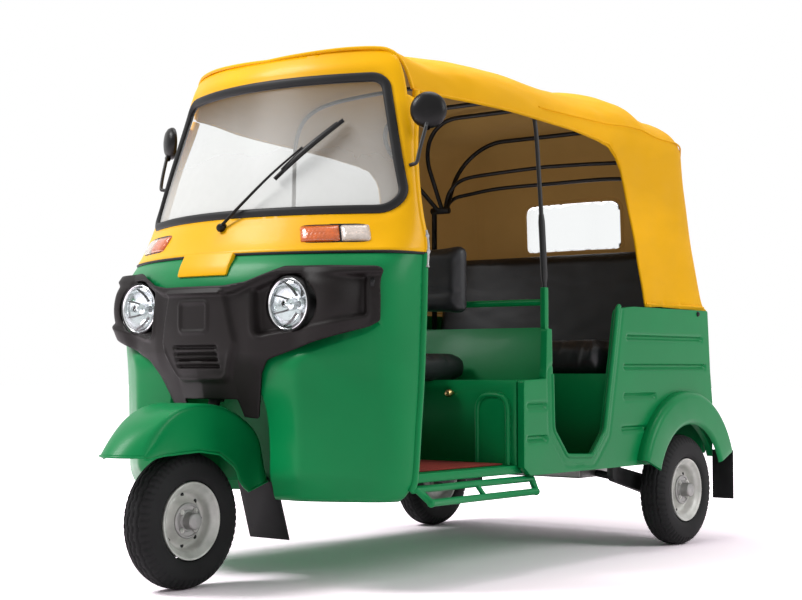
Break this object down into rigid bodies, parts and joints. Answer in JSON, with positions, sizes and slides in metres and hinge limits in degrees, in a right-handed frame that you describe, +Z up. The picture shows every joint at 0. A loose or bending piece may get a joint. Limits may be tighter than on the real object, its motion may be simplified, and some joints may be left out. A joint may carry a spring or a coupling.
{
  "type": "auto rickshaw",
  "caption": "Three-wheeled passenger taxi with an open-sided cab, cloth hood on bows, bench seats, steered single front wheel and rear engine bay.",
  "frame": {"origin": "middle of the overall length and width, on the ground", "axes": "+X to the vehicle's left, +Y to its tail (it drives towards -Y), +Z up"},
  "size_m": [1.309, 2.635, 1.708],
  "materials": {
    "green_paint": "gloss enamel",
    "yellow_paint": "gloss enamel",
    "hood_cloth": "coated cloth",
    "black_plastic": "grained",
    "black_metal": "satin",
    "seat_vinyl": "grained vinyl",
    "clear_glass": "clear",
    "gasket_rubber": "matt",
    "tyre_rubber": "matt",
    "rim_paint": "satin",
    "lamp_chrome": "bright",
    "amber_lens": "clear coloured",
    "red_lens": "clear coloured",
    "engine_alloy": "cast"
  },
  "bodies": {
    "chassis": {"floor_pan": "green_paint", "front_cowl": "green_paint", "screen_frame": "yellow_paint", "windscreen": "clear_glass", "screen_gasket": "gasket_rubber", "fascia": "black_plastic", "headlamps": "lamp_chrome", "front_indicators": "amber_lens", "dashboard": "black_plastic", "wheel_well": "black_metal", "steering_head": "black_metal", "bulkhead": "green_paint", "guard_rail": "green_paint", "side_panel_left": "green_paint", "side_panel_right": "green_paint", "rear_panel": "green_paint", "rear_fenders": "green_paint", "rear_mudflaps": "gasket_rubber", "seat_box": "green_paint", "passenger_seat": "seat_vinyl", "passenger_backrest": "seat_vinyl", "driver_seat": "seat_vinyl", "driver_backrest": "seat_vinyl", "hood": "hood_cloth", "rear_window": "clear_glass", "hood_bows": "black_metal", "hood_posts": "black_metal", "steps": "green_paint", "mirrors": "black_plastic", "wiper": "black_metal", "engine": "engine_alloy", "rear_arms": "black_metal", "tail_lamps": "red_lens", "rear_bumper": "black_metal", "tow_eye": "black_metal"},
    "engine_door": {"engine_door": "green_paint"},
    "steering": {"steering_column": "black_metal", "handlebar": "black_metal", "front_fender": "green_paint", "front_mudflap": "gasket_rubber"},
    "front_wheel": {"front_tyre": "tyre_rubber", "front_rim": "rim_paint"},
    "rear_wheel_left": {"rear_left_tyre": "tyre_rubber", "rear_left_rim": "rim_paint"},
    "rear_wheel_right": {"rear_right_tyre": "tyre_rubber", "rear_right_rim": "rim_paint"}
  },
  "joints": [
    {"name": "steering_turn", "type": "hinge", "parent": "chassis", "child": "steering", "pos_m": [0, -0.9895, 0.205], "axis": [0, 0.2756, 0.9613], "range_deg": [-35, 35]},
    {"name": "front_wheel_spin", "type": "hinge", "parent": "steering", "child": "front_wheel", "pos_m": [0, -1.0245, 0.205], "axis": [1, 0, 0], "continuous": true},
    {"name": "rear_left_spin", "type": "hinge", "parent": "chassis", "child": "rear_wheel_left", "pos_m": [0.575, 0.9755, 0.205], "axis": [1, 0, 0], "continuous": true},
    {"name": "rear_right_spin", "type": "hinge", "parent": "chassis", "child": "rear_wheel_right", "pos_m": [-0.575, 0.9755, 0.205], "axis": [1, 0, 0], "continuous": true},
    {"name": "engine_door_swing", "type": "hinge", "parent": "chassis", "child": "engine_door", "pos_m": [0, 1.2095, 0.596], "axis": [1, 0, 0], "range_deg": [0, 80]}
  ]
}
